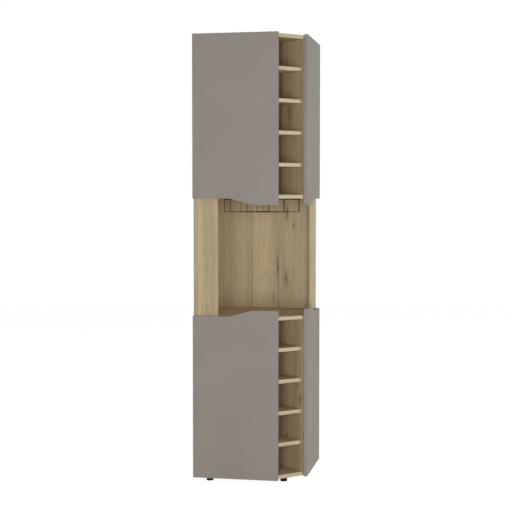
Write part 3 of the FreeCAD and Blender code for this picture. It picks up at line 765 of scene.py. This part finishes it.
@dataclass
class Doors:
    """Four doors with their concealed hinges and buffers."""

    hinge_levels: tuple[float, float] = (111.0, 627.0)
    cup_x: float = 22.0
    link_w: float = 9.0
    link_t: float = 3.0
    link_near: float = 21.5     # link's end in the arm's nose
    link_far: float = 15.0      # link's end in the cup
    link_lift: float = 5.0      # link plates above and below the hinge's middle
    link_round: float = 0.8
    link_steps: int = 25
    blend_in: float = 0.5       # the computed link ends lie this far inside the links' ends
    blend_level: float = 400.0  # height at which those link ends are given
    bumper_x: float = 363.0
    bumper_r: float = 4.0
    bumper_h: float = 1.7
    bumper_round: float = 1.2
    bumper_levels: tuple[float, float] = (76.0, 666.0)
    cross_half: float = 1.9     # cross recess in a screw head, drawn as a dark plate of painted shade
    cross_arm: float = 0.55
    cross_sunk: float = -0.1    # its plate's faces, from the head's
    cross_proud: float = 0.06
    cup_screw: Triple = (31.0, DOOR_T + 1.9, 24.0)  # place, then how far above and below the hinge's middle
    plate_screw: Triple = (INNER + 2.9, FRONT + 37.0, 16.0)
    adjusters: tuple[float, float] = (FRONT + 40.0, FRONT + 64.0)
    arm_face: float = INNER + 10.5  # where the adjusting screws' heads lie
    head_r: float = 3.6         # adjusting screw's head
    head_sunk: float = -0.3
    head_rise: float = 0.9
    head_round: float = 0.6

    def links(self) -> Shape:
        """Folded link plates between the arms and the cups: a flat bar carried in thin steps towards the door.

        Returns:
            One door's plates.
        """
        x, near, far = self.cup_x, self.link_near, self.link_far
        levels = [z + lift for z in self.hinge_levels for lift in (-self.link_lift, self.link_lift)]
        profile = rounded_bar(self.link_t, -self.link_w / 4, self.link_w / 4, self.link_round)
        paths = [np.linspace((x, near, z), (x, far, z), self.link_steps) for z in levels]
        return joined(carried(profile, path, (1, 0, 0), (0, 0, 1)) for path in paths)

    def buffers(self) -> Shape:
        """Round buffers: the profile of a low disc turned about its axis."""
        profile = disc_profile(self.bumper_r, 0.0, self.bumper_h, self.bumper_round, steps=7)
        return joined(turned(profile, (self.bumper_x, FRONT, z), (0, -1, 0), steps=24) for z in self.bumper_levels)

    def crosses(self, places: Sequence[Triple], first: Triple, out: Triple) -> Shape:
        """Cross recesses of screws: thin cross-shaped plates a little proud of the heads, dark with painted shade.

        Args:
            places: middles of the heads' faces.
            first: a direction in the faces.
            out: the faces' outward direction.

        Returns:
            The crosses.
        """
        a, b = self.cross_arm, self.cross_half
        outline = np.array([(b, -a), (b, a), (a, a), (a, b), (-a, b), (-a, a),
                            (-b, a), (-b, -a), (-a, -a), (-a, -b), (a, -b), (a, -a)])
        depth = np.array([[self.cross_sunk], [self.cross_proud]]) * out
        return joined(carried(outline, depth + place, first, np.cross(out, first)) for place in places)

    def around(self, screw: Triple) -> list[Triple]:
        """Places of a kind of screw above and below the middle of each hinge."""
        return [(screw[0], screw[1], z + side * screw[2]) for z in self.hinge_levels for side in (-1, 1)]

    def adjusting(self, rise: float) -> list[Triple]:
        """Places of the adjusting screws, at a height over the arms."""
        return [(self.arm_face + rise, y, z) for z in self.hinge_levels for y in self.adjusters]

    def arm_screws(self) -> Shape:
        """Adjusting screws in the arms: the profile of a low round head turned about its axis."""
        profile = disc_profile(self.head_r, self.head_sunk, self.head_rise, self.head_round, steps=5)
        return joined(turned(profile, place, (1, 0, 0), steps=20) for place in self.adjusting(0.0))

    def build(self) -> None:
        """Make links, buffers and screw details."""
        links = four_ways(self.links())
        cups = four_ways(self.crosses(self.around(self.cup_screw), (0.8, 0, 0.6), (0, 1, 0)))
        for side in SIDES:
            # the cup screws' cross plates carry painted shade for their recesses
            RECESS_SHADE.on(add_piece(side + "_cup_screw_recess_shade", cups[side], side + "_leaf", None))
            piece = add_piece(side + "_hinge_links", links[side], None)
            NICKEL.on(piece)
            near, far = self.link_ends(side)
            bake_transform(piece)
        # cross plates on the plate and arm screws: painted shade for their recesses
        plates = self.crosses(self.around(self.plate_screw), (0, 0.6, 0.8), (1, 0, 0))
        arms = self.crosses(self.adjusting(self.head_rise), (0, 1, 0), (1, 0, 0))
        recesses = joined([*four_ways(plates).values(), *four_ways(arms).values()])
        RECESS_SHADE.on(add_piece("hinge_screw_recess_shade", recesses, "carcass", None))
        heads = joined(four_ways(self.arm_screws()).values())
        ZINC.on(add_piece("hinge_adjusting_screws", heads, "carcass"))
        buffers = add_piece("soft_door_buffers", joined(four_ways(self.buffers()).values()), "carcass")
        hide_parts("door_bumpers")
        RUBBER.on(buffers)

    def link_ends(self, side: str) -> tuple[tuple[float, ...], tuple[float, ...]]:
        """Where a door's links leave the arm and where they join the cup, in metres.

        Args:
            side: the cupboard and side.

        Returns:
            The start and end points, a little inside the links' ends.
        """
        places = (self.link_near - self.blend_in, self.link_far + self.blend_in)
        line = Shape(np.array([(self.cup_x, y, self.blend_level) for y in places]), [])
        near, far = to_metres(four_ways(line)[side].points).tolist()
        return tuple(near), tuple(far)

    def dress(self) -> None:
        """Foil on the doors, plating on the hinges."""
        finish_nodes({
            FOIL: [side + "_door" for side in SIDES],
            NICKEL: [side + kind for side in SIDES for kind in ("_hinge_cups", "_hinge_arms", "_hinge_plates")],
            ZINC: [side + "_cup_screws" for side in SIDES] + ["hinge_plate_screws"],
        })


@dataclass
class GlassRack:
    """Wire rack for stemware under the bay's ceiling."""

    wire_r: float = 1.4
    wire_sides: int = 16
    bend: float = 5.0
    bend_steps: int = 9
    near: float = 55.0          # legs at the front and back, behind the cut corner
    far: float = 370.46
    drop: float = 60.0
    strip_t: float = 6.0
    spread: tuple[float, float] = (5.0, 32.0)   # between the two wires of a rail, at the front and at the back
    pitch: tuple[float, float] = (80.0, 89.0)   # from rail to rail, at the front and at the back
    rails: int = 3

    def wire(self, front: float, back: float) -> Shape:
        """One wire: a circle carried down, round a quarter bend, along, round a bend and up.

        Args:
            front: sideways place of the wire's front leg.
            back: sideways place of its back leg.

        Returns:
            The wire's tube.
        """
        low = CEILING - self.drop + self.wire_r
        top = CEILING - self.strip_t
        start, end = at_cut(self.near, front), at_cut(self.far, back)
        length = float(np.linalg.norm(end - start))
        ahead, up = (end - start) / length, np.array([0, 0, 1.0])
        turn = np.linspace(0.0, math.pi / 2, self.bend_steps)
        s = np.concatenate([[0.0], self.bend * (1 - np.cos(turn)), length - self.bend * (1 - np.sin(turn)), [length]])
        z = np.concatenate([[top], low + self.bend * (1 - np.sin(turn)), low + self.bend * (1 - np.cos(turn)), [top]])
        along_s = np.concatenate([[0.0], np.sin(turn), np.cos(turn), [0.0]])
        along_z = np.concatenate([[-1.0], -np.cos(turn), np.sin(turn), [1.0]])
        path = start + s[:, None] * ahead + z[:, None] * up
        normal = -along_z[:, None] * ahead + along_s[:, None] * up
        return carried(circle(self.wire_r, self.wire_sides), path, np.cross(ahead, up), normal)

    def build(self) -> None:
        """Make the wires, two for each rail, in place of the CAD rails."""
        pitch, spread = np.array(self.pitch), np.array(self.spread)
        for rail in range(self.rails):
            middle = (rail - (self.rails - 1) / 2) * pitch
            wires = joined(self.wire(*(middle + side * spread / 2)) for side in (-1, 1))
            piece = add_piece("glass_wires_%d" % (rail + 1), wires, "carcass", 50.0)
            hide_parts("glass_rail_%d" % (rail + 1))
            POWDER.on(piece)

    def dress(self) -> None:
        """Powder coat on the bars and their screws."""
        finish_nodes({POWDER: ["glass_rack_bars", "glass_rack_screws"]})


@dataclass
class Feet:
    """Four moulded glides."""

    places: tuple[tuple[str, float, float], ...] = (
        ("left", 68.0, 36.0), ("right", 450.0, 418.0), ("corner", 387.0, 81.04), ("back", 50.0, 436.0))
    top_r: float = 16.0
    low_r: float = 15.0
    height: float = 20.0
    play: float = 0.1           # under the board
    sole_round: float = 1.6
    pit: tuple[tuple[float, float], ...] = ((0.0, 13.9), (5.0, 13.9), (5.0, 0.4), (5.4, 0.0))  # radius and height
    # Wall, groove and collar: how far inside top_r, and height.
    wall: tuple[tuple[float, float], ...] = ((0.7, 13.4), (1.4, 13.9), (1.4, 14.9), (0.6, 15.4), (0.0, 15.9))

    def glide(self, x: float, y: float) -> Shape:
        """A glide turned from its outline: screw pit, rounded sole, tapered wall, groove and collar.

        Args:
            x: plan place.
            y: plan place.

        Returns:
            The glide's shape.
        """
        bend = self.sole_round
        sole = arc((self.low_r - bend, bend), (bend, bend), steps=6, start=-math.pi / 2)
        wall = [(self.top_r - inset, z) for inset, z in self.wall]
        top = self.height - self.play
        outline = np.concatenate([self.pit, sole, wall, [(self.top_r, top), (0.0, top)]])
        return turned(outline, (x, y, 0.0), (0, 0, 1), steps=40)

    def build(self) -> None:
        """Make the glides in place of the plain CAD ones."""
        for name, x, y in self.places:
            piece = add_piece("glide_" + name, self.glide(x, y), "carcass")
            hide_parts("foot_" + name)
            MOULDED.on(piece)

    def dress(self) -> None:
        """Plating on the screws."""
        finish_nodes({ZINC: ["foot_screws"]})


# Studio


@dataclass(frozen=True)
class Softbox:
    """A square lamp: its middle, what it faces and its side in metres, and its watts."""

    name: str
    place: Triple
    target: Triple
    size: float
    power: float

    def add(self) -> None:
        """Put the lamp into the scene."""
        data = bpy.data.lights.new(self.name, "AREA")
        data.shape = "SQUARE"
        data.size = self.size
        data.energy = self.power
        lamp = add_object(self.name, data)
        lamp.location = self.place
        lamp.rotation_euler = (Vector(self.target) - Vector(self.place)).to_track_quat("-Z", "Y").to_euler()


@dataclass
class Studio:
    """Pale floor, soft lamps, white surroundings and the photograph's camera."""

    floor_half: float = 9.0
    eye: Triple = (1.0133, -5.2454, 1.2212)
    pitch: float = 0.04643      # camera looks down by this angle
    turn: float = 0.19279       # and to the left by this one
    lens: float = 83.9
    world_light: float = 0.27
    floor_tone: float = 0.80
    floor_glow: float = 1.12    # the floor's own light, for the eye alone
    floor_share: float = 0.85   # how much of what the eye sees is that light
    sensor: float = 36.0
    lamps: tuple[Softbox, ...] = (
        Softbox("front_softbox", (0.9, -5.4, 0.85), (0.0, 0.0, 0.88), 2.2, 145.0),
        Softbox("right_softbox", (5.2, -1.2, 1.1), (0.0, 0.0, 0.95), 2.4, 105.0),
        Softbox("rear_softbox", (-3.6, 4.2, 1.8), (0.0, 0.0, 0.95), 2.4, 85.0),
    )

    def build(self) -> None:
        """Add floor, lamps, world and camera."""
        self.floor()
        for lamp in self.lamps:
            lamp.add()
        self.world()
        camera = add_object("photo_camera", bpy.data.cameras.new("photo_camera"))
        camera.data.lens = self.lens
        camera.data.sensor_width = self.sensor
        camera.location = self.eye
        camera.rotation_euler = (math.pi / 2 - self.pitch, 0.0, self.turn)
        bpy.context.scene.camera = camera
        bpy.context.scene.view_settings.view_transform = "Standard"

    def seen(self, tree: Tree) -> Socket:
        """One where the camera, a mirror or glass looks straight at this surface.

        Args:
            tree: the node tree.

        Returns:
            The mask.
        """
        ray = add_node(tree, "LightPath").node.outputs
        mirror = add_node(tree, "Math", {"operation": "MAXIMUM"},
                          {0: ray["Is Glossy Ray"], 1: ray["Is Transmission Ray"]})
        return add_node(tree, "Math", {"operation": "MAXIMUM"}, {0: ray["Is Camera Ray"], 1: mirror})

    def floor(self) -> None:
        """A wide disc of pale floor, nearly white to the eye, that keeps a soft shadow."""
        rim = np.pad(circle(self.floor_half, steps=96), ((0, 0), (0, 1)))
        mesh = bpy.data.meshes.new("studio_floor")
        mesh.from_pydata(rim.tolist(), [], [tuple(range(len(rim)))])
        disc = add_object("studio_floor", mesh)
        paint = bpy.data.materials.new("pale_floor")
        paint.use_nodes = True
        tree = paint.node_tree
        matt = tree.nodes["Principled BSDF"]
        matt.inputs["Base Color"].default_value = grey(self.floor_tone)
        matt.inputs["Roughness"].default_value = 0.9
        glow = add_node(tree, "Emission", {"Color": grey(1.0), "Strength": self.floor_glow})
        share = add_node(tree, "Math", {"operation": "MULTIPLY", 1: self.floor_share}, {0: self.seen(tree)})
        mixed = add_node(tree, "MixShader", None, {0: share, 1: matt.outputs[0], 2: glow})
        tree.links.new(mixed, tree.nodes["Material Output"].inputs["Surface"])
        mesh.materials.append(paint)

    def world(self) -> None:
        """White surroundings: full white to the eye, a softer level as light."""
        world = bpy.data.worlds.new("white_studio")
        world.use_nodes = True
        bpy.context.scene.world = world
        tree = world.node_tree
        soft = tree.nodes["Background"]
        soft.inputs["Color"].default_value = grey(1.0)
        soft.inputs["Strength"].default_value = self.world_light
        white = add_node(tree, "Background", {"Color": grey(1.0), "Strength": 1.0})
        mixed = add_node(tree, "MixShader", None, {0: self.seen(tree), 1: soft.outputs[0], 2: white})
        tree.links.new(mixed, tree.nodes["World Output"].inputs["Surface"])


def main() -> None:
    """Build and dress every sub-assembly, then the studio."""
    logging.basicConfig(level=logging.INFO, format="%(name)s: %(message)s")
    for assembly in (Carcass(), Doors(), GlassRack(), Feet()):
        assembly.build()
        assembly.dress()
        LOG.info("dressed %s", type(assembly).__name__)
    Studio().build()


if __name__ == "__main__":
    main()
